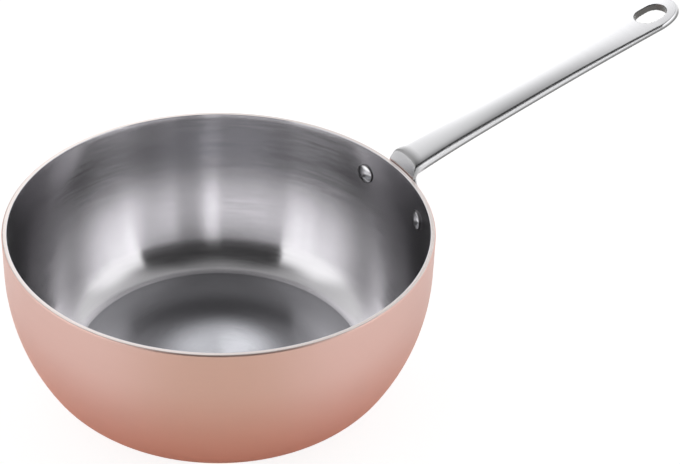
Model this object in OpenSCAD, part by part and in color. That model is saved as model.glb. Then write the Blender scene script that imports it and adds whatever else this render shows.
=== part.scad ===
// Saucier pan: a clad bowl with a cast steel handle riveted to its wall.
// The origin is the centre of the base's underside, +Z is up and the handle points along +X.
// All sizes are in millimetres and all angles in degrees.

/* [Bowl] */
// Inside diameter of the bowl at its rim
rim_inner_d = 200; // [180:1:220]
// Height of the upright wall under the rim
upright_h = 20; // [19:0.5:40]
// Angle through which the belly turns in below the upright wall
belly_turn = 29; // [22:1:34]
// Outside radius of the knee between the belly and the base
knee_r = 31; // [24:1:36]
// Angle from upright at which the knee meets the base corner
knee_turn = 62; // [54:1:70]
// Outside radius of the corner round the flat base
base_corner_r = 12; // [8:0.5:18]

/* [Layers] */
// Thickness of the copper layer outside
copper_t = 0.5; // [0.4:0.1:1]
// Thickness of the aluminium layer in the middle
core_t = 1.6; // [1.2:0.1:2.5]
// Thickness of the steel layer inside
liner_t = 0.4; // [0.3:0.1:0.8]
// Radius that rounds the rim's outer edge
rim_round = 0.9; // [0.6:0.1:1.2]
// Radius that eases the rim's inner edge
rim_ease = 0.25; // [0.1:0.05:0.3]

/* [Handle] */
// Length of the handle from the wall to its tip, along its slope
handle_l = 171; // [140:1:200]
// Slope of the handle above level
handle_slope = 17.6; // [12:0.1:24]
// Height of the handle's top above the rim where it leaves the wall
neck_rise = 6.3; // [5:0.1:8]
// Thickness of the handle at its middle line
grip_t = 6; // [5.5:0.1:8]
// Radius across the handle of its crowned top
crown_r = 22; // [20:1:40]
// Radius across the handle of the flatter crown round its eye
eye_crown_r = 60; // [40:5:120]
// How far that flatter crown lies below the first one's line at the eye's middle
eye_drop = 2.6; // [1.5:0.1:3]
// Length over which it falls away, measured back from the eye's middle
eye_fall_l = 60; // [40:5:80]
// Width of the handle at the wall
neck_w = 20.6; // [20:0.2:23]
// Width of the handle at its waist
waist_w = 18.4; // [16:0.2:19.6]
// Distance from the wall to the waist, along the slope
waist_at = 34; // [25:1:50]
// Width of the handle's end at its widest
tip_w = 24.4; // [22:0.2:27]
// Length of the rounded end beyond its widest place
tip_l = 17.5; // [12:0.1:20]
// Radius that rounds the shoulders over the rim
shoulder_r = 5; // [3:0.5:6]
// Slope at which that rounding runs out along the handle
shoulder_slope = 34; // [28:1:45]

/* [Hanging eye] */
// Width of the eye
eye_w = 12.6; // [9:0.2:14]
// Length of the eye along the handle
eye_l = 17.4; // [15:0.2:22]
// Distance from the eye's middle to the handle's tip
eye_at = 15.7; // [15:0.1:22]

/* [Riveting flange] */
// Thickness of the flange that lies on the wall
flange_t = 2.7; // [2:0.1:4]
// Radius of the flange round each rivet
lobe_r = 9.5; // [7.5:0.5:11]
// Depth of the hollow in the flange's upper and lower edges, between the rivets
flange_dip = 0.8; // [0.5:0.1:1.5]
// Radius that blends the neck into the top of the flange
neck_fillet_r = 8.5; // [5:0.5:10]
// Radius that fills the corner under the neck
under_fillet_r = 1.5; // [1:0.5:3]

/* [Rivets] */
// Distance between the rivets, measured straight across at the wall
rivet_pitch = 49; // [44:1:56]
// Distance from the rim down to the rivets
rivet_drop = 15; // [12:0.5:15.5]
// Diameter of the rivet's shank
rivet_d = 5.6; // [4:0.2:6]
// Diameter of the rivet's heads
head_d = 10; // [8:0.5:12]
// Height of the domed heads over the face they sit on
head_h = 2.1; // [1.5:0.1:3]
// Height of the upright edge under each dome
head_edge = 0.5; // [0.3:0.1:0.8]
// Gap round the shank in its holes
rivet_gap = 0.05; // [0.02:0.01:0.15]

/* [Hidden] */
$fn = 160;

copper_color = [0.84, 0.57, 0.47];
core_color = [0.80, 0.80, 0.81];
liner_color = [0.62, 0.62, 0.64];
handle_color = [0.88, 0.88, 0.89];
rivet_color = [0.76, 0.76, 0.78];

// Length by which a cutter passes the face it cuts
past = 1;
// Depth by which joined shapes reach into each other
lap = 0.4;
// Excess that makes the bowl's arcs cross where they would only touch
proud = 0.01;
// The same for the arcs of the handle's outline
ease = 0.05;
// Facets of the long arcs, which have radii of half a metre and more
long_fn = 1440;

// Bowl: the wall's radii, and the centres of the arcs of its outer outline
wall_t = copper_t + core_t + liner_t;
rim_inner_r = rim_inner_d / 2;
rim_r = rim_inner_r + wall_t;
belly_r = rim_r;
knee_c = (belly_r - knee_r) * [cos(belly_turn), -sin(belly_turn)];
corner_c = knee_c + (knee_r - base_corner_r) * [cos(knee_turn), -sin(knee_turn)];
belly_z = base_corner_r - corner_c[1];
pan_h = belly_z + upright_h;

// Handle: places along its slope, measured from the wall
tip_s = handle_l - tip_l;
eye_s = handle_l - eye_at;
root_s = 12;
eye_fall = atan(eye_drop / eye_fall_l);
grip_side_r = side_radius(tip_s - waist_at, (tip_w - waist_w) / 2 - 2 * ease);
neck_side_r = side_radius(waist_at, (neck_w - waist_w) / 2);
under_z = pan_h + neck_rise - grip_t / cos(handle_slope);
neck_top_z = under_z + flange_t * tan(handle_slope) + lap;

// Flange and rivets
flange_r = rim_r + flange_t;
rivet_z = pan_h - rivet_drop;
rivet_turn = asin(rivet_pitch / 2 / rim_r);
neck_turn = asin((neck_w / 2 - 2 * lap) / flange_r);
strip_h = 2 * (lobe_r - flange_dip);
flange_top_z = rivet_z + strip_h / 2;
dome_h = head_h - head_edge;
dome_r = (pow(head_d / 2, 2) + pow(dome_h, 2)) / (2 * dome_h);

// Radius of an arc that is level at one end and rises by rise over run
function side_radius(run, rise) = (pow(run, 2) + pow(rise, 2)) / (2 * rise);

// Point at a distance r from the origin, turned down from level by a
function down(r, a) = [r * cos(a), -r * sin(a)];

// What lies outside an arc round centre, between the direction from and straight down
module outside(centre, r, from)
    translate(centre) difference() {
        polygon([[0, 0], down(2 * rim_r, from), [0, -2 * rim_r]]);
        circle(r);
    }

// Half outline of the bowl, filled from the axis, drawn in by inset and standing up to top.
// Height is measured from the rim here, so that the rim's numbers stay round.
module bowl_fill(inset, top)
    translate([0, -upright_h]) difference() {
        union() {
            square([rim_r - inset, upright_h + top]);
            intersection() {
                circle(belly_r - inset);
                translate([0, inset - belly_z]) square([rim_r, belly_z - inset]);
            }
        }
        outside(knee_c, knee_r - inset + proud, belly_turn);
        outside(corner_c, base_corner_r - inset + 2 * proud, knee_turn);
    }

// Corner to remove so that an edge at the rim's height is rounded with radius r
module rim_corner(edge_r, r, outward)
    difference() {
        translate([outward ? edge_r - r : edge_r - past, -r]) square(r + past);
        translate([outward ? edge_r - r : edge_r + r, -r]) circle(r);
    }

// One layer of the bowl's wall between two depths below its outer face
module layer(outer_inset, inner_inset)
    difference() {
        translate([0, 0, pan_h]) rotate_extrude() difference() {
            bowl_fill(outer_inset, 0);
            bowl_fill(inner_inset, past);
            rim_corner(rim_r, rim_round, true);
            rim_corner(rim_inner_r, rim_ease, false);
        }
        rivet_holes();
    }

// Places its children on the axis of a rivet, with +Z pointing out of the bowl
module on_rivet(side)
    rotate([0, 0, side * rivet_turn]) translate([0, 0, rivet_z]) rotate([0, 90, 0]) children();

module rivet_holes()
    for (side = [-1, 1])
        on_rivet(side) translate([0, 0, rim_inner_r / 2]) cylinder(d = rivet_d + 2 * rivet_gap, h = rim_r);

module copper_shell()
    color(copper_color) layer(0, copper_t);

module aluminium_core()
    color(core_color) layer(copper_t, copper_t + core_t);

module steel_liner()
    color(liner_color) layer(copper_t + core_t, wall_t);

// Places its children on the handle's slope: origin on its top middle line at the wall
module on_slope()
    translate([rim_r, 0, pan_h + neck_rise]) rotate([0, -handle_slope, 0]) children();

// Outline of the handle seen square to its slope: a waist, and a rounded end
module plan()
    difference() {
        union() {
            translate([-root_s, -tip_w]) square([root_s + tip_s, 2 * tip_w]);
            translate([tip_s, 0]) scale([2 * tip_l / tip_w, 1]) circle(d = tip_w);
        }
        for (side = [-1, 1]) {
            translate([waist_at, side * (waist_w / 2 + neck_side_r)]) circle(neck_side_r, $fn = long_fn);
            intersection() {
                translate([waist_at, side * (waist_w / 2 + ease + grip_side_r)]) circle(grip_side_r, $fn = long_fn);
                translate([waist_at, side > 0 ? 0 : -2 * tip_w]) square([handle_l, 2 * tip_w]);
            }
        }
    }

// Hanging eye: a slot with round ends
module eye()
    translate([eye_s, 0]) {
        straight = eye_l - eye_w;
        square([straight, eye_w], center = true);
        for (end = [-1, 1])
            translate([end * straight / 2, 0]) circle(d = eye_w);
    }

// A crowned top of radius r, whose top line falls by an angle beyond a place along the slope
module crown(r, at, fall)
    translate([at, 0, 0]) rotate([0, fall, 0]) translate([-at - root_s - past, 0, -r])
        rotate([0, 90, 0]) cylinder(r = r, h = handle_l + root_s + 3 * past);

// The handle's bar: flat below, crowned above, flatter round the eye, with its shoulders
// rounded over the rim
module grip()
    difference() {
        on_slope() intersection() {
            translate([0, 0, -grip_t]) linear_extrude(grip_t + past) difference() {
                plan();
                eye();
            }
            crown(crown_r, 0, 0);
            crown(eye_crown_r, eye_s - eye_fall_l, eye_fall);
        }
        for (side = [0, 1])
            mirror([0, side, 0]) shoulder_cutter();
    }

// What lies outside a rounded shoulder, carried up a steeper slope than the handle's
module shoulder_cutter()
    translate([rim_r, neck_w / 2 - shoulder_r, pan_h + neck_rise - shoulder_r / cos(shoulder_slope)])
        rotate([0, -shoulder_slope, 0]) translate([-root_s, 0, 0]) rotate([90, 0, 90])
            linear_extrude(3 * root_s) difference() {
                translate([0, -2 * shoulder_r]) square([shoulder_r + 2 * past, 3 * shoulder_r + 2 * past]);
                translate([0, -3 * shoulder_r]) square([shoulder_r, 3 * shoulder_r]);
                circle(shoulder_r);
            }

// Front view of the neck below the bar: upright sides, just inside the bar's, that flare below
module neck_outline() {
    half_w = neck_w / 2 - lap + neck_fillet_r;
    low = flange_top_z - lap;
    difference() {
        translate([-half_w, low - lap]) square([2 * half_w, neck_top_z - low + lap]);
        for (side = [-1, 1])
            translate([side * half_w, low + neck_fillet_r]) circle(neck_fillet_r);
    }
}

// Flange: a strip of the wall's own curve with a round lobe at each rivet, and the neck above
module flange()
    intersection() {
        cylinder(r = flange_r, h = pan_h + neck_rise);
        union() {
            rotate([0, 0, -rivet_turn]) rotate_extrude(angle = 2 * rivet_turn)
                translate([rim_r / 2, rivet_z - strip_h / 2]) square([rim_r, strip_h]);
            for (side = [-1, 1])
                on_rivet(side) translate([0, 0, rim_r / 2]) cylinder(r = lobe_r, h = rim_r);
            translate([rim_r / 2, 0, 0]) rotate([90, 0, 90]) linear_extrude(rim_r) neck_outline();
        }
    }

// Rounded filling in the corner between the neck and the handle's underside
module under_fillet()
    rotate([0, 0, -neck_turn]) rotate_extrude(angle = 2 * neck_turn) under_fillet_outline();

module under_fillet_outline() {
    x = flange_r + under_fillet_r - lap / 2;
    z = under_z + (x - rim_r) * tan(handle_slope) - (under_fillet_r - lap / 2) / cos(handle_slope);
    difference() {
        polygon([
            [rim_r - past, z - lap], [x, z - lap], [x, z], [x, under_z + (x - rim_r) * tan(handle_slope)],
            [rim_r - past, under_z + lap]
        ]);
        translate([x, z]) circle(under_fillet_r);
    }
}

module handle()
    color(handle_color) difference() {
        union() {
            grip();
            flange();
            under_fillet();
        }
        cylinder(r = rim_r, h = 2 * pan_h);
        rivet_holes();
    }

// Rivet head: a low dome on a short upright edge, standing on z = 0 and sunk by depth below it
module head(depth)
    rotate_extrude() {
        translate([0, -depth]) square([head_d / 2, depth + head_edge]);
        intersection() {
            translate([0, head_h - dome_r]) circle(dome_r);
            translate([0, head_edge - lap]) square([head_d / 2, dome_h + lap]);
        }
    }

// Rivet: a head on the liner's inner face, a shank through wall and flange, a head on the flange
module rivet(side)
    color(rivet_color) {
        on_rivet(side) translate([0, 0, rim_inner_r - lap])
            cylinder(d = rivet_d, h = wall_t + flange_t + 2 * lap);
        intersection() {
            on_rivet(side) translate([0, 0, rim_inner_r]) mirror([0, 0, 1]) head(lap);
            cylinder(r = rim_inner_r, h = pan_h);
        }
        difference() {
            on_rivet(side) translate([0, 0, flange_r]) head(lap);
            cylinder(r = flange_r, h = pan_h);
        }
    }

module rivet_left() rivet(1);

module rivet_right() rivet(-1);

copper_shell();
aluminium_core();
steel_liner();
handle();
rivet_left();
rivet_right();
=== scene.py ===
"""Saucier pan: a clad copper bowl with a brushed steel lining and a polished cast handle.

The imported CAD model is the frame. Each CAD node is replaced by a finer mesh of the same shape:
the bowl's layers are turned from one outline, the handle is meshed from a distance field with
rounded edges, and the rivets are turned from a domed outline. Lengths here are in millimetres
until a mesh or a material is made, and angles in degrees, as in the part's source.
"""
import math

import bpy
import numpy as np
from mathutils import Matrix, Vector


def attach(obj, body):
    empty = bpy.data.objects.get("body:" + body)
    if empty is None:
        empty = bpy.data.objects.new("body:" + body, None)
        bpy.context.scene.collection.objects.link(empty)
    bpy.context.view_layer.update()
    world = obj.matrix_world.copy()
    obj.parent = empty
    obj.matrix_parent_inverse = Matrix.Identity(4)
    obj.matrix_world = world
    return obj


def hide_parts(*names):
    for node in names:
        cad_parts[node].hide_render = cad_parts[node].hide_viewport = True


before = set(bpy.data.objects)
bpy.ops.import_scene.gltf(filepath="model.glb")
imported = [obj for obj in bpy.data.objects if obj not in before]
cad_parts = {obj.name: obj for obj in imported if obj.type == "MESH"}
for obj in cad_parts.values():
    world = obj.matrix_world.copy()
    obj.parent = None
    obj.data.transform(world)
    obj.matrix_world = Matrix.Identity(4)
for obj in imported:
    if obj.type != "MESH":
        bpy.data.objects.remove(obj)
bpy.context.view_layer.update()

MM = 0.001
TINY = 1e-6

# Bowl, as in the part's source
RIM_INNER_R = 100.0
COPPER_T = 0.5
CORE_T = 1.6
LINER_T = 0.4
WALL_T = COPPER_T + CORE_T + LINER_T
RIM_R = RIM_INNER_R + WALL_T
UPRIGHT_H = 20.0
BELLY_TURN = 29.0
KNEE_R = 31.0
KNEE_TURN = 62.0
CORNER_R = 12.0
RIM_ROUND = 0.9
RIM_EASE = 0.25

# Handle, as in the part's source
HANDLE_L = 171.0
SLOPE = 17.6
NECK_RISE = 6.3
GRIP_T = 6.0
CROWN_R = 22.0
EYE_DROP = 2.6
EYE_FALL_L = 60.0
NECK_W = 20.6
WAIST_W = 18.4
WAIST_AT = 34.0
TIP_W = 24.4
TIP_L = 17.5
EYE_W = 12.6
EYE_L = 17.4
EYE_AT = 15.7
FLANGE_T = 2.7
LOBE_R = 9.5
FLANGE_DIP = 0.8
NECK_FILLET_R = 8.5

# Rivets, as in the part's source
RIVET_PITCH = 49.0
RIVET_DROP = 15.0
RIVET_D = 5.6
HEAD_D = 10.0
HEAD_H = 2.1

# Edges of the handle. The rounding of the grip's upper edge is this high, and narrower than that
# by the squash. The seat is where the handle meets the wall, and the crest the neck's front edge,
# whose rounding comes in over a rise above the rim.
TOP_EDGE_R = 3.0
EDGE_SQUASH = 2.4
LOW_EDGE_R = 1.2
EYE_EDGE_R = 0.4
SEAT_EDGE_R = 0.15
CREST_EDGE_R = 0.6
CREST_EDGE_RISE = 3.0
FLANGE_EDGE_R = 0.9
UNDER_FILLET_R = 1.8
LOBE_FILLET_R = 1.0
FLANGE_NECK_INSET = 0.4

# How the grip's form changes along it: a flatter crown near the neck with lower shoulders,
# a crown line that bends over a length before the eye, and a thicker wall round the eye
NECK_CROWN_R = 45.0
NECK_CROWN_END = 60.0
SHOULDER_DROP = 1.2
SHOULDER_END = 90.0
SHOULDER_POWER = 8
SHOULDER_LIMIT = 1.1
CROWN_EDGE_LEAST = 0.7
FALL_BLEND = 30.0
UNDER_SAG = 1.5

# The neck's front face leans back, from a little over the rim up to its crest
CREST_LEAN = 0.43
LEAN_FROM = 0.6
LEAN_H = 6.0

# Heads of the rivets: the height of the edge under the dome, the undercut that leaves a thin dark line
# on the wall, how far a head sinks into its seat, and the width of the painted shade round its edge
HEAD_EDGE = 0.6
HEAD_TUCK = 0.25
HEAD_SINK = 0.3
HEAD_SHADE_RING = 0.35

# The floor inside has its own finish, with painted highlight and painted shade in its colour, out to
# this radius, on faces within a little of its level.
# Its middle is shaded as slightly hollow.
FLOOR_R = 71.0
FLOOR_BELOW, FLOOR_ABOVE = 0.2, 0.6
DISH_R = 44.0
DISH_DEPTH = 3.3

# How finely the pieces are made. The handle's field is sampled in a box that holds the handle,
# first in blocks of cells and then in each cell near the surface.
BOWL_SEGMENTS = 224
WALL_STEPS, BELLY_STEPS, KNEE_STEPS, CORNER_STEPS, FLOOR_STEPS = 8, 18, 16, 12, 12
COPPER_RIM_STEPS, CORE_RIM_STEPS, LINER_RIM_STEPS = 8, 5, 4
RIVET_SEGMENTS = 64
DOME_STEPS = 14
SHARP_ANGLE = 35
HANDLE_PITCH = 0.55
HANDLE_BLOCK = 4
HANDLE_LOW = np.array([94.0, -36.0, 56.0])
HANDLE_HIGH = np.array([271.0, 36.0, 144.0])

# Worked out from those
COS_SLOPE, SIN_SLOPE = math.cos(math.radians(SLOPE)), math.sin(math.radians(SLOPE))
TIP_S = HANDLE_L - TIP_L
EYE_S = HANDLE_L - EYE_AT
FLANGE_R = RIM_R + FLANGE_T


def down(r, angle):
    """Point at distance r, turned down from level by an angle."""
    return np.array([r * math.cos(math.radians(angle)), -r * math.sin(math.radians(angle))])


KNEE_C = down(RIM_R - KNEE_R, BELLY_TURN)
CORNER_C = KNEE_C + down(KNEE_R - CORNER_R, KNEE_TURN)
BELLY_Z = CORNER_R - CORNER_C[1]
PAN_H = BELLY_Z + UPRIGHT_H
RIVET_Z = PAN_H - RIVET_DROP
RIVET_TURN = math.degrees(math.asin(RIVET_PITCH / 2 / RIM_R))


# Meshes

def mesh_object(name, points, faces, normals=None):
    """A smooth-shaded mesh object from points in millimetres."""
    mesh = bpy.data.meshes.new(name)
    mesh.from_pydata((np.asarray(points, float) * MM).tolist(), [], [list(f) for f in faces])
    mesh.validate()
    mesh.update()
    mesh.polygons.foreach_set("use_smooth", [True] * len(mesh.polygons))
    if normals is not None:
        mesh.normals_split_custom_set_from_vertices(normals.tolist())
    obj = bpy.data.objects.new(name, mesh)
    bpy.context.scene.collection.objects.link(obj)
    return obj


def turned(outline, segments):
    """Points and faces of a closed outline of (radius, height) turned round the Z axis."""
    points, faces, rings = [], [], []
    for r, z in outline:
        if r < TINY:
            rings.append([len(points)] * segments)
            points.append((0, 0, z))
            continue
        rings.append(list(range(len(points), len(points) + segments)))
        for i in range(segments):
            a = 2 * math.pi * i / segments
            points.append((r * math.cos(a), r * math.sin(a), z))
    for lower, upper in zip(rings, rings[1:] + rings[:1]):
        for i in range(segments):
            j = (i + 1) % segments
            corners = [lower[i], lower[j], upper[j], upper[i]]
            loop = [c for k, c in enumerate(corners) if c != corners[k - 1]]
            if len(set(loop)) > 2:
                faces.append(loop)
    return points, faces


def sharpen(obj):
    """Keeps sharp edges crisp under smooth shading."""
    obj.data.set_sharp_from_angle(angle=math.radians(SHARP_ANGLE))


# Bowl

def arc(centre, r, start, end, steps):
    """Points of an arc between two angles turned down from level."""
    return [np.array(centre) + down(r, a) for a in np.linspace(start, end, steps + 1)]


def bowl_side(inset, top):
    """Outline of the bowl at a depth below its outer face, from a height under the rim to the axis."""
    belly = np.array([0.0, BELLY_Z])
    points = [np.array([RIM_R - inset, z]) for z in np.linspace(top, BELLY_Z, WALL_STEPS + 1)[:-1]]
    points += arc(belly, RIM_R - inset, 0, BELLY_TURN, BELLY_STEPS)[:-1]
    points += arc(belly + KNEE_C, KNEE_R - inset, BELLY_TURN, KNEE_TURN, KNEE_STEPS)[:-1]
    points += arc(belly + CORNER_C, CORNER_R - inset, KNEE_TURN, 90, CORNER_STEPS)
    points += [np.array([r, inset]) for r in np.linspace(CORNER_C[0], 0, FLOOR_STEPS + 1)[1:]]
    return points


def rim_corner(r_edge, r, outward, start, end, steps):
    """Arc of a rounded rim edge between two angles turned up from level."""
    sign = 1 if outward else -1
    centre = np.array([r_edge - sign * r, PAN_H - r])
    angles = np.radians(np.linspace(start, end, steps + 1))
    return [centre + r * np.array([sign * math.cos(a), math.sin(a)]) for a in angles]


def bowl_layer(name, outer_inset, inner_inset, rim):
    """One layer of the wall: its outer face, its floor, its inner face and its stretch of the rim."""
    outer = bowl_side(outer_inset, rim[-1][1])
    inner = bowl_side(inner_inset, rim[0][1])
    outline = outer[1:] + inner[:0:-1] + rim
    points, faces = turned(outline, BOWL_SEGMENTS)
    obj = mesh_object(name, points, faces)
    sharpen(obj)
    return obj


def make_bowl():
    """The three layers. They meet on the rounded and ground rim."""
    meet = math.degrees(math.acos((RIM_ROUND - COPPER_T) / RIM_ROUND))
    copper_rim = rim_corner(RIM_R, RIM_ROUND, True, 0, meet, COPPER_RIM_STEPS)[::-1]
    core_rim = rim_corner(RIM_R, RIM_ROUND, True, meet, 90, CORE_RIM_STEPS)[::-1]
    liner_rim = rim_corner(RIM_INNER_R, RIM_EASE, False, 90, 0, LINER_RIM_STEPS)[::-1]
    seam = [np.array([RIM_INNER_R + LINER_T, PAN_H])]
    shell = bowl_layer("bowl_copper", 0, COPPER_T, copper_rim)
    core = bowl_layer("bowl_core", COPPER_T, COPPER_T + CORE_T, seam + core_rim)
    liner = bowl_layer("bowl_lining", COPPER_T + CORE_T, WALL_T, liner_rim + seam)
    return shell, core, liner


# Handle, as a distance field. Negative is inside. Places on the bar are s along its slope from
# the neck, y across it, and t up from the crown's line.

def round_and(a, b, r):
    """Both a and b, with the edge between them rounded to r."""
    corner = np.hypot(np.maximum(a + r, 0), np.maximum(b + r, 0))
    return np.minimum(-r, np.maximum(a, b)) + corner


def round_or(a, b, r):
    """Either a or b, with the corner between them filled to r."""
    corner = np.hypot(np.maximum(r - a, 0), np.maximum(r - b, 0))
    return np.maximum(r, np.minimum(a, b)) - corner


def smooth_step(low, high, x):
    """0 below low, 1 above high, and a smooth rise between them."""
    t = np.clip((x - low) / (high - low), 0, 1)
    return t * t * (3 - 2 * t)


def half_width(s):
    """Half the handle's width at a place along it. It stays as it is in the rounded end."""
    s = np.clip(s, 0, TIP_S)
    neck = (NECK_W - WAIST_W) / 2 * ((WAIST_AT - s) / WAIST_AT) ** 2
    grip = (TIP_W - WAIST_W) / 2 * ((s - WAIST_AT) / (TIP_S - WAIST_AT)) ** 2
    return WAIST_W / 2 + np.where(s < WAIST_AT, neck, grip)


def crown_fall(s):
    """How far the crown's line has fallen: straight near the eye, blended in before it."""
    run = s - EYE_S + EYE_FALL_L
    return EYE_DROP / EYE_FALL_L * (run + np.hypot(run, FALL_BLEND)) / 2


def crown_radius(s):
    """Radius across the crown. Its edges keep their height, so it grows as the line falls."""
    half = half_width(s)
    across = CROWN_R + (NECK_CROWN_R - CROWN_R) * (1 - smooth_step(0, NECK_CROWN_END, s))
    edge = np.maximum(half ** 2 / (2 * across) - crown_fall(s), CROWN_EDGE_LEAST)
    return half ** 2 / (2 * edge)


def crown_top(s, y):
    """Height of the crown at a place, with the shoulders that drop towards the neck."""
    near_edge = np.minimum(np.abs(y) / half_width(s), SHOULDER_LIMIT) ** SHOULDER_POWER
    shoulder = SHOULDER_DROP * (1 - smooth_step(0, SHOULDER_END, s)) * near_edge
    return -crown_fall(s) - y * y / (2 * crown_radius(s)) - shoulder


def bar_field(s, y, t):
    """The bar: a waisted outline with a rounded end, a crowned top, a flat underside and the eye."""
    half = half_width(s)
    u = np.maximum(s - TIP_S, 0) / TIP_L
    v = np.abs(y) / half
    k = np.hypot(u, v) + TINY
    outline = (k - 1) * k / (np.hypot(u / TIP_L, v / half) + TINY / half)
    crown = (t - crown_top(s, y)) / np.sqrt(1 + (y / crown_radius(s)) ** 2)
    bar = round_and(outline * EDGE_SQUASH, crown, TOP_EDGE_R)
    sag = UNDER_SAG * smooth_step(EYE_S - EYE_FALL_L, EYE_S, s) * np.maximum(1 - v * v, 0)
    bar = round_and(bar, -t - GRIP_T - sag, LOW_EDGE_R)
    past_straight = np.maximum(np.abs(s - EYE_S) - (EYE_L - EYE_W) / 2, 0)
    eye = np.hypot(past_straight, y) - EYE_W / 2
    return round_and(bar, -eye, EYE_EDGE_R)


def flange_field(x, y, z):
    """The flange and neck: an outline drawn on the wall's own curve, with one thickness."""
    across = np.abs(RIM_R * np.arctan2(y, x))
    above = z - RIVET_Z
    lobe_at = RIM_R * math.radians(RIVET_TURN)
    lobes = np.hypot(across - lobe_at, above) - LOBE_R
    strip = np.maximum(across - lobe_at, np.abs(above) - (LOBE_R - FLANGE_DIP))
    ears = round_or(lobes, strip, LOBE_FILLET_R)
    neck_top = PAN_H + FLANGE_T * SIN_SLOPE
    neck_side = across - NECK_W / 2 + FLANGE_NECK_INSET
    neck = np.maximum(neck_side, np.maximum(-above, z - neck_top))
    outline = round_or(ears, neck, NECK_FILLET_R)
    return round_and(outline, np.hypot(x, y) - FLANGE_R, FLANGE_EDGE_R)


def handle_field(p):
    """Distance to the handle's surface from points in the frame."""
    x, y, z = p[:, 0], p[:, 1], p[:, 2]
    dx, dz = x - RIM_R, z - PAN_H - NECK_RISE
    s, t = dx * COS_SLOPE + dz * SIN_SLOPE, dz * COS_SLOPE - dx * SIN_SLOPE
    solid = round_or(bar_field(s, y, t), flange_field(x, y, z), UNDER_FILLET_R)
    wall = RIM_R - np.hypot(x, y) + CREST_LEAN * np.clip(z - PAN_H - LEAN_FROM, 0, LEAN_H)
    edge_r = SEAT_EDGE_R + (CREST_EDGE_R - SEAT_EDGE_R) * smooth_step(PAN_H, PAN_H + CREST_EDGE_RISE, z)
    return round_and(solid, wall, edge_r)


def field_gradient(field, p, step=0.02):
    """Direction in which the field grows, by central differences."""
    g = np.empty_like(p)
    for axis in range(3):
        d = np.zeros(3)
        d[axis] = step
        g[:, axis] = (field(p + d) - field(p - d)) / (2 * step)
    return g


def onto_surface(field, p, rounds, least_slope=0.05):
    """Moves points onto the field's zero surface."""
    for _ in range(rounds):
        g = field_gradient(field, p)
        p = p - (field(p) / np.maximum((g * g).sum(1), least_slope))[:, None] * g
    return p


def spread_blocks(blocks, size):
    """Repeats each block's value over its cells."""
    for axis in range(3):
        blocks = np.repeat(blocks, size, axis)
    return blocks


def sampled(field, low, high, pitch, coarse):
    """The field on a grid, worked out only near the surface: far points keep a large value."""
    far_value, reach = 9.0, 1.6
    count = np.ceil((high - low) / (pitch * coarse)).astype(int) * coarse + 1
    axes = [low[i] + pitch * np.arange(count[i]) for i in range(3)]
    centres = [axes[i][:-1:coarse] + pitch * coarse / 2 for i in range(3)]
    middle = field(np.stack(np.meshgrid(*centres, indexing="ij"), -1).reshape(-1, 3))
    middle = middle.reshape((count - 1) // coarse)
    values = np.pad(spread_blocks(np.sign(middle) * far_value, coarse), [(0, 1)] * 3, mode="edge")
    near = spread_blocks(np.abs(middle) < reach * pitch * coarse, coarse)
    wanted = np.zeros(count, bool)
    for offset in np.ndindex(2, 2, 2):
        wanted[tuple(slice(o, o + n) for o, n in zip(offset, near.shape))] |= near
    index = np.argwhere(wanted)
    points = np.stack([axes[i][index[:, i]] for i in range(3)], -1)
    values[tuple(index.T)] = field(points)
    return values, axes


def net_points(inside, values, axes):
    """One point in each cell that the surface crosses, and the number of each cell's point."""
    cells = tuple(n - 1 for n in values.shape)
    total = np.zeros(cells + (3,))
    hits = np.zeros(cells)
    for a in np.ndindex(2, 2, 2):
        for axis in range(3):
            if a[axis]:
                continue
            b = tuple(a[i] + (i == axis) for i in range(3))
            at_a = tuple(slice(a[i], a[i] + cells[i]) for i in range(3))
            at_b = tuple(slice(b[i], b[i] + cells[i]) for i in range(3))
            crossed = inside[at_a] != inside[at_b]
            va, vb = values[at_a][crossed], values[at_b][crossed]
            step = va / (va - vb)
            place = np.repeat(np.array([a], float), len(step), 0)
            place[:, axis] += step
            total[crossed] += place
            hits[crossed] += 1
    used = hits > 0
    number = np.full(cells, -1)
    number[used] = np.arange(used.sum())
    origin = np.array([axis[0] for axis in axes])
    pitch = axes[0][1] - axes[0][0]
    points = origin + pitch * (np.argwhere(used) + total[used] / hits[used][:, None])
    return points, number


def surface_net(values, axes):
    """Quads round the zero surface of a sampled field, one for each grid edge that it crosses."""
    inside = values < 0
    points, number = net_points(inside, values, axes)
    cells = number.shape
    quads = []
    for axis in range(3):
        u, v = (axis + 1) % 3, (axis + 2) % 3
        first, second = [slice(None)] * 3, [slice(None)] * 3
        first[axis] = slice(0, -1)
        second[axis] = slice(1, None)
        at = np.argwhere(inside[tuple(first)] != inside[tuple(second)])
        at = at[(at[:, u] > 0) & (at[:, v] > 0) & (at[:, u] < cells[u]) & (at[:, v] < cells[v])]
        ring = []
        for du, dv in ((-1, -1), (0, -1), (0, 0), (-1, 0)):
            c = at.copy()
            c[:, u] += du
            c[:, v] += dv
            ring.append(number[tuple(c.T)])
        quad = np.stack(ring, -1)
        out = inside[tuple(at.T)]
        quad[~out] = quad[~out][:, ::-1]
        quads.append(quad)
    return points, np.concatenate(quads)


def relaxed(field, points, quads, rounds, pull=0.6):
    """Evens the spacing of a net's points within the surface, so that its quads shade cleanly."""
    sides = np.concatenate([quads[:, [i, (i + 1) % 4]] for i in range(4)])
    edges = np.unique(np.sort(sides, axis=1), axis=0)
    count = np.bincount(edges.ravel(), minlength=len(points))[:, None]
    for _ in range(rounds):
        near = np.zeros_like(points)
        for axis in range(3):
            near[:, axis] += np.bincount(edges[:, 0], points[edges[:, 1], axis], len(points))
            near[:, axis] += np.bincount(edges[:, 1], points[edges[:, 0], axis], len(points))
        points = onto_surface(field, points + pull * (near / count - points), rounds=1)
    return points


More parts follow.
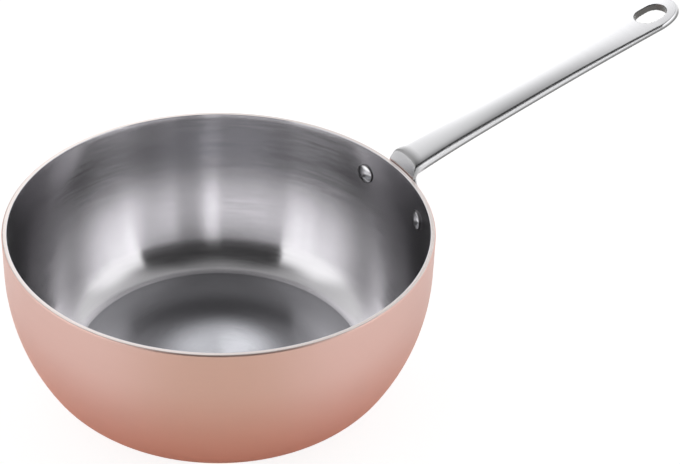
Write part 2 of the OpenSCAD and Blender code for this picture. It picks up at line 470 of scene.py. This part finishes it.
def make_handle():
    """The casting, meshed from its field and shaded by the field's own normals."""
    values, axes = sampled(handle_field, HANDLE_LOW, HANDLE_HIGH, HANDLE_PITCH, HANDLE_BLOCK)
    points, quads = surface_net(values, axes)
    points = onto_surface(handle_field, points, rounds=3)
    points = relaxed(handle_field, points, quads, rounds=6)
    points = onto_surface(handle_field, points, rounds=2)
    normals = field_gradient(handle_field, points)
    normals /= np.linalg.norm(normals, axis=1)[:, None]
    return mesh_object("handle_casting", points, quads.tolist(), normals)


# Rivets

def head_outline(seat, direction):
    """Half outline of a domed head, from the shank to the axis. The head stands on a seat."""
    shank_r, head_r = RIVET_D / 2, HEAD_D / 2
    dome_h = HEAD_H - HEAD_EDGE
    dome_r = (head_r ** 2 + dome_h ** 2) / (2 * dome_h)
    half = math.degrees(math.asin(head_r / dome_r))
    outline = [(shank_r, -HEAD_SINK), (head_r - HEAD_TUCK, -HEAD_SINK),
               (head_r - HEAD_TUCK, HEAD_TUCK), (head_r, HEAD_EDGE)]
    for angle in np.radians(np.linspace(half, 0, DOME_STEPS + 1)[1:]):
        outline.append((dome_r * math.sin(angle), HEAD_H - dome_r + dome_r * math.cos(angle)))
    return [(r, seat + direction * h) for r, h in outline]


def make_rivet(name, side):
    """A rivet laid along its hole, and for each face whether it is on the edge of a head, where shade is
    painted.
    """
    inner = head_outline(RIM_INNER_R, -1)
    outer = head_outline(FLANGE_R, 1)
    outline = [(max(r, 0), z) for r, z in inner[::-1] + outer]
    points, faces = turned(outline, RIVET_SEGMENTS)
    obj = mesh_object(name, points, faces)
    in_painted_shade = [int(math.hypot(face.center.x, face.center.y) > (HEAD_D / 2 - HEAD_SHADE_RING) * MM)
               for face in obj.data.polygons]
    sharpen(obj)
    turn = Matrix.Rotation(math.radians(side * RIVET_TURN), 4, "Z")
    lift = Matrix.Translation((0, 0, RIVET_Z * MM))
    lay = Matrix.Rotation(math.radians(90), 4, "Y")
    obj.data.transform(turn @ lift @ lay)
    obj.data.update()
    return obj, in_painted_shade


# Materials

WHITE = (1, 1, 1, 1)
BLACK = (0, 0, 0, 1)

# Finishes: colour, roughness, how strongly it is brushed round the bowl, and its fine lines as
# (scale round the bowl, scale along its outline, depth, swing of the roughness). The lines come
# from a noise, whose usual range drives the swing.
FINISHES = {
    "copper_satin": ((0.76, 0.52, 0.465, 1), 0.42, 0.0, (3.0, 900.0, 0.005, 0.02)),
    "rim_ground": ((0.68, 0.62, 0.60, 1), 0.28, 0.3, (6.0, 2500.0, 0.01, 0.04)),
    "steel_brushed": ((0.66, 0.65, 0.67, 1), 0.18, 0.97, (4.0, 1400.0, 0.006, 0.03)),
    "steel_floor_painted_reflection": ((0.60, 0.605, 0.65, 1), 0.20, 0.6, (2.0, 1800.0, 0.002, 0.04)),
    "steel_polished": ((0.755, 0.755, 0.77, 1), 0.17, 0.0, (1.0, 300.0, 0.001, 0.02)),
    "steel_rivet": ((0.70, 0.70, 0.71, 1), 0.22, 0.0, (2.0, 600.0, 0.01, 0.04)),
    # Painted shade round the edge of each rivet head
    "steel_rivet_painted_shade": ((0.16, 0.155, 0.16, 1), 0.35, 0.0, (2.0, 600.0, 0.01, 0.04)),
}
NOISE_RANGE = (0.25, 0.75)
QUARTER_TURN = 0.25

# Painted highlight and painted shade on the floor inside, by radius, in place of what it mirrors: a
# bright middle, a dark band and a lighter ring. Here and below, a pair of places is where something
# starts and where it has come in fully.
FLOOR_PAINTED_HIGHLIGHT = (0.66, 0.665, 0.71, 1)
FLOOR_PAINTED_SHADE = (0.20, 0.20, 0.21, 1)
FLOOR_RING_PAINTED_REFLECTION = (0.35, 0.35, 0.365, 1)
HIGHLIGHT_WITHIN = (40, 14)
PAINTED_RING_FROM = (44, 58)

# Painted shade on the handle, darker than its polished steel: the lowest part of the grip's side, by
# height over the underside and by distance from the neck, then the neck, by distance behind its front
# face, and the inside of the eye, by distance from its own surface
LOW_PAINTED_SHADE = (0.22, 0.22, 0.22, 1)
LOW_SHADE_UNDER = (2.2, 1.0)
LOW_SHADE_FROM = (0, 8)
NECK_PAINTED_SHADE = (0.24, 0.24, 0.24, 1)
NECK_SHADE_SHARE = 0.80
NECK_SHADE_FROM = (-0.03, 0.05)
NECK_SHADE_WITHIN = (4.5, 0.3)
BORE_PAINTED_SHADE = (0.13, 0.125, 0.12, 1)
BORE_SHADE_WITHIN = (0.45, 0.15)

# Places of the colour sockets on a Mix node
MIX_A, MIX_B, MIX_RESULT = 6, 7, 2


class Nodes:
    """Short calls for building a node tree."""

    def __init__(self, tree, keep=False):
        self.tree = tree
        if not keep:
            tree.nodes.clear()

    def add(self, kind, inputs=(), **settings):
        """A new node. Its inputs are linked to sockets or set to values."""
        n = self.tree.nodes.new(kind)
        for key, value in settings.items():
            setattr(n, key, value)
        for key, value in dict(inputs).items():
            if isinstance(value, bpy.types.NodeSocket):
                self.tree.links.new(value, n.inputs[key])
            else:
                n.inputs[key].default_value = value
        return n

    def link(self, value, socket):
        self.tree.links.new(value, socket)

    def find(self, kind):
        """The first node of a kind."""
        return next(node for node in self.tree.nodes if node.type == kind)

    def math(self, operation, *values):
        return self.add("ShaderNodeMath", dict(enumerate(values)), operation=operation).outputs[0]

    def times(self, *values):
        """All the values multiplied, from the first to the last."""
        product = values[0]
        for value in values[1:]:
            product = self.math("MULTIPLY", product, value)
        return product

    def off(self, value, centre):
        """How far a value is from a centre, either way."""
        return self.math("ABSOLUTE", self.math("SUBTRACT", value, centre))

    def vector(self, operation, *values):
        return self.add("ShaderNodeVectorMath", dict(enumerate(values)), operation=operation).outputs

    def dot(self, place, direction):
        return self.vector("DOT_PRODUCT", place, direction)["Value"]

    def split(self, place):
        return self.add("ShaderNodeSeparateXYZ", {0: place}).outputs

    def place(self, output="Object"):
        """The shaded place in the object's own space, or another of the coordinates."""
        return self.add("ShaderNodeTexCoord").outputs[output]

    def flat(self, place):
        """A place without its height."""
        return self.vector("MULTIPLY", place, (1, 1, 0))[0]

    def length(self, place):
        return self.vector("LENGTH", place)["Value"]

    def azimuth(self, place):
        """Angle round the pan in radians, from the camera's side and positive to its right."""
        return self.math("ARCTAN2", self.dot(place, compass(90, 0)), self.dot(place, compass(180, 0)))

    def ramp(self, value, low, high, to_low=0.0, to_high=1.0):
        """A smooth step of value from one range to another."""
        ranges = {"Value": value, "From Min": low, "From Max": high, "To Min": to_low, "To Max": to_high}
        return self.add("ShaderNodeMapRange", ranges, interpolation_type="SMOOTHSTEP").outputs["Result"]

    def blend(self, share, below, above):
        """From one level to another by a share between 0 and 1."""
        levels = {"Value": share, "To Min": below, "To Max": above}
        return self.add("ShaderNodeMapRange", levels).outputs["Result"]

    def mix(self, share, a, b):
        """From one colour to another by a share between 0 and 1."""
        colors = {0: share, MIX_A: a, MIX_B: b}
        return self.add("ShaderNodeMix", colors, data_type="RGBA").outputs[MIX_RESULT]


def turned_vector(n, round_scale, along_scale):
    """A texture place that is stretched round the Z axis, for marks left by turning."""
    place = n.place()
    flat = n.flat(place)
    unit = n.split(n.vector("NORMALIZE", flat)[0])
    along = n.math("ADD", n.length(flat), n.split(place)["Z"])
    out = n.add("ShaderNodeCombineXYZ", {"X": n.times(unit["X"], round_scale),
                                         "Y": n.times(unit["Y"], round_scale),
                                         "Z": n.times(along, along_scale)})
    return out.outputs[0]


def metal(name):
    """A brushed or polished metal with fine lines in its surface and its roughness."""
    color, roughness, anisotropic, (round_scale, along_scale, depth, swing) = FINISHES[name]
    material = bpy.data.materials.new(name)
    material.use_nodes = True
    n = Nodes(material.node_tree)
    noise = n.add("ShaderNodeTexNoise", {"Vector": turned_vector(n, round_scale, along_scale),
                                         "Scale": 1.0, "Detail": 4.0, "Roughness": 0.6})
    value = noise.outputs["Fac"]
    bump = n.add("ShaderNodeBump", {"Height": value, "Strength": 1.0, "Distance": depth * MM})
    rough = n.ramp(value, *NOISE_RANGE, roughness - swing, roughness + swing)
    shader = n.add("ShaderNodeBsdfPrincipled", {
        "Base Color": color, "Metallic": 1.0, "Roughness": rough, "Anisotropic": anisotropic,
        "Anisotropic Rotation": QUARTER_TURN, "Normal": bump.outputs[0]})
    if anisotropic:
        tangent = n.add("ShaderNodeTangent", direction_type="RADIAL", axis="Z")
        n.link(tangent.outputs[0], shader.inputs["Tangent"])
    out = n.add("ShaderNodeOutputMaterial")
    n.link(shader.outputs[0], out.inputs["Surface"])
    return material


def floor_metal():
    """The floor inside: a painted highlight in the middle, shaded as slightly hollow, a band of painted
    shade and a ring of lighter painted reflection.
    """
    material = metal("steel_floor_painted_reflection")
    n = Nodes(material.node_tree, keep=True)
    lines, shader = n.find("BUMP"), n.find("BSDF_PRINCIPLED")
    radius = n.length(n.flat(n.place()))
    height = n.ramp(radius, 0, DISH_R * MM)
    hollow = n.add("ShaderNodeBump", {"Height": height, "Distance": DISH_DEPTH * MM})
    n.link(hollow.outputs[0], lines.inputs["Normal"])
    # Painted highlight in the middle, painted shade in a band round it and a lighter painted ring
    # outside that
    middle = n.ramp(radius, *(r * MM for r in HIGHLIGHT_WITHIN))
    ring = n.ramp(radius, *(r * MM for r in PAINTED_RING_FROM))
    n.link(n.mix(middle, n.mix(ring, FLOOR_PAINTED_SHADE, FLOOR_RING_PAINTED_REFLECTION), FLOOR_PAINTED_HIGHLIGHT), shader.inputs["Base Color"])
    return material


def handle_metal():
    """Polished, with painted shade low on the grip's side, at the neck and inside the hanging eye."""
    material = metal("steel_polished")
    n = Nodes(material.node_tree, keep=True)
    shader = n.find("BSDF_PRINCIPLED")
    place = n.place()
    height = n.dot(place, (-SIN_SLOPE, 0, COS_SLOPE))
    underside = (PAN_H + NECK_RISE) * COS_SLOPE - RIM_R * SIN_SLOPE - GRIP_T
    # Painted shade on the lowest part of the grip's side
    low = n.ramp(height, *((underside + h) * MM for h in LOW_SHADE_UNDER))
    along = n.dot(place, (COS_SLOPE, 0, SIN_SLOPE))
    root = RIM_R * COS_SLOPE + (PAN_H + NECK_RISE) * SIN_SLOPE
    grip = n.ramp(along, *((root + s) * MM for s in LOW_SHADE_FROM))
    color = n.mix(n.times(low, grip), FINISHES["steel_polished"][0], LOW_PAINTED_SHADE)

    # Painted shade on the neck, fading back from its front face
    rise = n.math("MAXIMUM", n.math("SUBTRACT", n.split(place)["Z"], (PAN_H + LEAN_FROM) * MM), 0.0)
    face = n.math("ADD", n.times(rise, CREST_LEAN), RIM_R * MM)
    behind = n.math("SUBTRACT", n.length(n.flat(place)), face)
    neck_shade = n.times(n.ramp(behind, *(d * MM for d in NECK_SHADE_FROM)),
                   n.ramp(behind, *(d * MM for d in NECK_SHADE_WITHIN)), NECK_SHADE_SHARE)
    color = n.mix(neck_shade, color, NECK_PAINTED_SHADE)

    # Painted shade inside the hanging eye
    past_straight = n.math("SUBTRACT", n.off(along, (root + EYE_S) * MM), (EYE_L - EYE_W) / 2 * MM)
    u, v = n.math("MAXIMUM", past_straight, 0.0), n.split(place)["Y"]
    from_eye = n.math("SQRT", n.math("ADD", n.times(u, u), n.times(v, v)))
    bore_shade = n.ramp(from_eye, *((EYE_W / 2 + d) * MM for d in BORE_SHADE_WITHIN))
    n.link(n.mix(bore_shade, color, BORE_PAINTED_SHADE), shader.inputs["Base Color"])
    return material


# Camera: the photograph's, found from the rim's ellipse and the bowl's outline

CAMERA_DISTANCE = 8.222 * RIM_R
HANDLE_AZIMUTH = 27.9
CAMERA_AZIMUTH = -0.094
CAMERA_ELEVATION = 33.945
LOOK_AZIMUTH = 1.959
LOOK_ELEVATION = -34.254
CAMERA_ROLL = 1.113
CAMERA_LENS = 94.10
CAMERA_SENSOR = 36
CAMERA_SHIFT = 0.1
CAMERA_REACH = 20000


def compass(azimuth, elevation):
    """Unit vector in the frame from a direction in the photograph: 0 points away, 90 to the right."""
    a, e = math.radians(azimuth + HANDLE_AZIMUTH), math.radians(elevation)
    return Vector((math.sin(a) * math.cos(e), math.cos(a) * math.cos(e), math.sin(e)))


def make_camera():
    """Stands off the middle of the rim and looks a little past it, as the photographer framed it."""
    data = bpy.data.cameras.new("camera")
    data.lens = CAMERA_LENS
    data.sensor_width = CAMERA_SENSOR
    data.shift_x = CAMERA_SHIFT
    data.clip_end = CAMERA_REACH * MM
    camera = bpy.data.objects.new("camera", data)
    bpy.context.scene.collection.objects.link(camera)
    away = compass(CAMERA_AZIMUTH, -CAMERA_ELEVATION)
    camera.location = Vector((0, 0, PAN_H * MM)) - away * CAMERA_DISTANCE * MM
    camera.rotation_mode = "QUATERNION"
    turn = compass(LOOK_AZIMUTH, LOOK_ELEVATION).to_track_quat("-Z", "Y")
    roll = Matrix.Rotation(math.radians(CAMERA_ROLL), 4, "Z").to_quaternion()
    camera.rotation_quaternion = turn @ roll
    bpy.context.scene.camera = camera


# Studio. Azimuths are measured round the pan from the camera's side, positive to its right.

FRONT_LEVEL = 0.05
SIDE_LEVEL = 0.85
SIDE_STARTS = (75, 95)
BACK_LEVEL = 1.07
BACK_STARTS = (95, 135)

# A bright streak and a darker gap in the back wall, and a faint strip over the camera
STREAK_AZIMUTH, STREAK_LEVEL = -172.0, 0.55
STREAK_HALF = (10, 4)
GAP_AZIMUTH, GAP_LEVEL = -147.0, 0.45
GAP_HALF, GAP_TOP = (16, 7), (44, 34)
STRIP_AZIMUTH, STRIP_LEVEL = 4.0, 0.35
STRIP_HALF, STRIP_TOP = (7, 2), (50, 12)

# The ceiling comes in later over the front than over the back
CEILING_LEVEL = 0.36
FRONT_HALF = (90, 50)
FRONT_CEILING, BACK_CEILING = (68, 86), (24, 90)

# Soft boxes at the sides: inner edge, far edge, top edge and level. The inner edge leans
# outwards as it rises.
LEFT_BOX = ((35.7, 37.3), (-104, -84), (62, 48), 1.45)
RIGHT_BOX = ((47.5, 49.5), (112, 92), (58, 44), 1.40)
BOX_LEAN = 0.0057

# Light for rays that metal has mirrored more than once. The front glows, from the first level to
# the second on the way to its sides, the space under the ceiling is raised, the rear is brighter
# by a share, and it all fades as mirrorings add up.
FADE_DEPTHS, FADE_LEAST = (2, 3.6), 0.15
GLOW_LEVELS = (0.75, 2.3)
GLOW_SIDE, GLOW_END, GLOW_TOP = (0, 60), (95, 80), (47, 38)
GLOW_RIGHT, GLOW_RIGHT_SHARE = (-10, 30), 0.88
HIGH_LEVEL = 0.32
HIGH_STARTS, HIGH_ENDS = (48, 60), (84, 72)
REAR_SHARE = 0.95
REAR_TOP, REAR_SIDE = (50, 36), (70, 100)
DEEP_DEPTHS, DEEP_SHARE = (2, 3.5), 0.4


def room_level(n, azimuth, elevation):
    """Light from the walls, the ceiling and the soft boxes, by direction."""
    side = n.math("ABSOLUTE", azimuth)
    level = n.blend(n.ramp(side, *SIDE_STARTS), FRONT_LEVEL, SIDE_LEVEL)
    level = n.blend(n.ramp(side, *BACK_STARTS), level, BACK_LEVEL)
    streak = n.ramp(n.off(azimuth, STREAK_AZIMUTH), *STREAK_HALF)
    level = n.math("ADD", level, n.times(streak, STREAK_LEVEL))
    gap = n.ramp(n.off(azimuth, GAP_AZIMUTH), *GAP_HALF)
    level = n.math("SUBTRACT", level, n.times(gap, n.ramp(elevation, *GAP_TOP), GAP_LEVEL))
    strip = n.ramp(n.off(azimuth, STRIP_AZIMUTH), *STRIP_HALF)
    level = n.math("ADD", level, n.times(strip, n.ramp(elevation, *STRIP_TOP), STRIP_LEVEL))

    in_front = n.ramp(side, *FRONT_HALF)
    at_back = n.math("SUBTRACT", 1.0, in_front)
    ceiling = n.math("MAXIMUM", n.times(n.ramp(elevation, *FRONT_CEILING), in_front),
                     n.times(n.ramp(elevation, *BACK_CEILING), at_back))
    level = n.blend(ceiling, level, CEILING_LEVEL)

    lean = n.times(elevation, elevation, BOX_LEAN)
    for toward, (inner, far, top, box_level) in ((-1.0, LEFT_BOX), (1.0, RIGHT_BOX)):
        from_inner = n.math("SUBTRACT", n.times(azimuth, toward), lean)
        box = n.times(n.ramp(from_inner, *inner), n.ramp(azimuth, *far), n.ramp(elevation, *top))
        level = n.blend(box, level, box_level)
    return level


def mirrored_level(n, level, azimuth, elevation, depth):
    """The same light, changed for rays that metal has mirrored more than once."""
    side = n.math("ABSOLUTE", azimuth)
    again = n.math("GREATER_THAN", depth, 1.0)
    fading = n.times(again, n.ramp(depth, *FADE_DEPTHS, 1.0, FADE_LEAST))
    glow = n.times(fading, n.ramp(elevation, *GLOW_TOP), n.ramp(side, *GLOW_END),
                   n.ramp(side, *GLOW_SIDE, *GLOW_LEVELS),
                   n.ramp(azimuth, *GLOW_RIGHT, 1.0, GLOW_RIGHT_SHARE))
    level = n.math("MAXIMUM", level, glow)
    high = n.times(again, n.ramp(elevation, *HIGH_STARTS), n.ramp(elevation, *HIGH_ENDS), HIGH_LEVEL)
    level = n.math("ADD", level, high)
    rear = n.times(fading, n.ramp(elevation, *REAR_TOP), n.ramp(side, *REAR_SIDE), REAR_SHARE)
    return n.times(level, n.math("ADD", rear, 1.0), n.ramp(depth, *DEEP_DEPTHS, 1.0, DEEP_SHARE))


def make_world():
    """White behind the pan, a grey ceiling, a dark front and a large soft box on each side."""
    world = bpy.data.worlds.new("studio")
    bpy.context.scene.world = world
    world.use_nodes = True
    n = Nodes(world.node_tree)
    ray = n.place("Generated")
    azimuth = n.times(n.azimuth(ray), math.degrees(1))
    elevation = n.times(n.math("ARCSINE", n.dot(ray, (0, 0, 1))), math.degrees(1))
    path = n.add("ShaderNodeLightPath").outputs
    level = room_level(n, azimuth, elevation)
    level = mirrored_level(n, level, azimuth, elevation, path["Glossy Depth"])
    strength = n.blend(path["Is Camera Ray"], level, 1.0)
    background = n.add("ShaderNodeBackground", {"Color": WHITE, "Strength": strength})
    out = n.add("ShaderNodeOutputWorld")
    n.link(background.outputs[0], out.inputs["Surface"])


# Floor: its own glow, then the share of light that each of its matt layers gives back, once as the
# camera sees it and once as metal mirrors it. Metal sees a copper-coloured painted shadow near the pan,
# which is gone at the second radius, and a paler painted shade in a sector in front of it.
FLOOR_HALF = 3000
FLOOR_SHOWN = (0.87, 0.28)
FLOOR_MIRRORED = (0.0, 0.95, 0.50)
FLOOR_PAINTED_SHADOW = (0.65, 0.44, 0.36, 1)
PAINTED_SHADOW_R = (60, 190)
FLOOR_FRONT_PAINTED_SHADE = (0.83, 0.785, 0.70, 1)
FRONT_SHADE_HALF = (48, 10)
FLOOR_MATT = (0.80, 0.80, 0.80, 1)


def lifted(n, levels, painted_shade=WHITE):
    """A surface with its own glow under some matt layers, coloured by a painted shade when one is given.
    """
    light = n.add("ShaderNodeEmission", {"Color": WHITE, "Strength": levels[0]}).outputs[0]
    for level in levels[1:]:
        matt = n.add("ShaderNodeBsdfDiffuse", {"Color": n.mix(level, BLACK, painted_shade)}).outputs[0]
        light = n.add("ShaderNodeAddShader", {0: light, 1: matt}).outputs[0]
    return light


def floor_white():
    """White to the camera with the pan's shadow, with painted shadow and painted shade where metal
    mirrors it, and matt otherwise.
    """
    material = bpy.data.materials.new("floor_white")
    material.use_nodes = True
    n = Nodes(material.node_tree)
    place = n.place()
    # Painted shadow near the pan and painted shade in front of it, seen only where metal mirrors the
    # floor
    front_shade = n.ramp(n.math("ABSOLUTE", n.azimuth(place)), *(math.radians(a) for a in FRONT_SHADE_HALF))
    away = n.ramp(n.length(place), *(r * MM for r in PAINTED_SHADOW_R))
    painted_shade = n.mix(away, FLOOR_PAINTED_SHADOW, n.mix(front_shade, WHITE, FLOOR_FRONT_PAINTED_SHADE))
    path = n.add("ShaderNodeLightPath").outputs
    mirrored = n.math("MAXIMUM", path["Is Glossy Ray"], path["Is Transmission Ray"])
    matt = n.add("ShaderNodeBsdfDiffuse", {"Color": FLOOR_MATT}).outputs[0]
    for share, shader in ((mirrored, lifted(n, FLOOR_MIRRORED, painted_shade)),
                          (path["Is Camera Ray"], lifted(n, FLOOR_SHOWN))):
        matt = n.add("ShaderNodeMixShader", {0: share, 1: matt, 2: shader}).outputs[0]
    out = n.add("ShaderNodeOutputMaterial")
    n.link(matt, out.inputs["Surface"])
    return material


def make_floor():
    """A large flat floor that is not part of the object."""
    r = FLOOR_HALF * MM
    mesh = bpy.data.meshes.new("floor")
    mesh.from_pydata([(-r, -r, 0), (r, -r, 0), (r, r, 0), (-r, r, 0)], [], [(0, 1, 2, 3)])
    mesh.materials.append(floor_white())
    floor = bpy.data.objects.new("floor", mesh)
    bpy.context.scene.collection.objects.link(floor)


# The pan

def dress(obj, material, node):
    """Gives a piece its finish, and hides the CAD node it stands for."""
    obj.data.materials.clear()
    obj.data.materials.append(material)
    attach(obj, "root")
    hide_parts(node)


def add_finish_with_painted_light(obj, material, faces):
    """Gives some of a piece's faces a second finish with painted light in its colour."""
    obj.data.materials.append(material)
    obj.data.polygons.foreach_set("material_index", faces)


def on_floor(face):
    """1 for a face of the lining that is part of the floor inside, otherwise 0."""
    x, y, z = face.center / MM
    return int(math.hypot(x, y) < FLOOR_R and WALL_T - FLOOR_BELOW < z < WALL_T + FLOOR_ABOVE)


def make_pan():
    """The bowl's three layers, the handle and the two rivets, each for its own CAD node."""
    shell, core, liner = make_bowl()
    dress(shell, metal("copper_satin"), "copper_shell")
    dress(core, metal("rim_ground"), "aluminium_core")
    dress(liner, metal("steel_brushed"), "steel_liner")
    add_finish_with_painted_light(liner, floor_metal(), [on_floor(face) for face in liner.data.polygons])
    dress(make_handle(), handle_metal(), "handle")
    # Each head's edge gets painted shade
    head, edge = metal("steel_rivet"), metal("steel_rivet_painted_shade")
    for side, name in ((1, "rivet_left"), (-1, "rivet_right")):
        rivet, in_painted_shade = make_rivet(name + "_head", side)
        dress(rivet, head, name)
        add_finish_with_painted_light(rivet, edge, in_painted_shade)


bpy.context.scene.view_settings.view_transform = "Standard"
make_camera()
make_world()
make_floor()
make_pan()
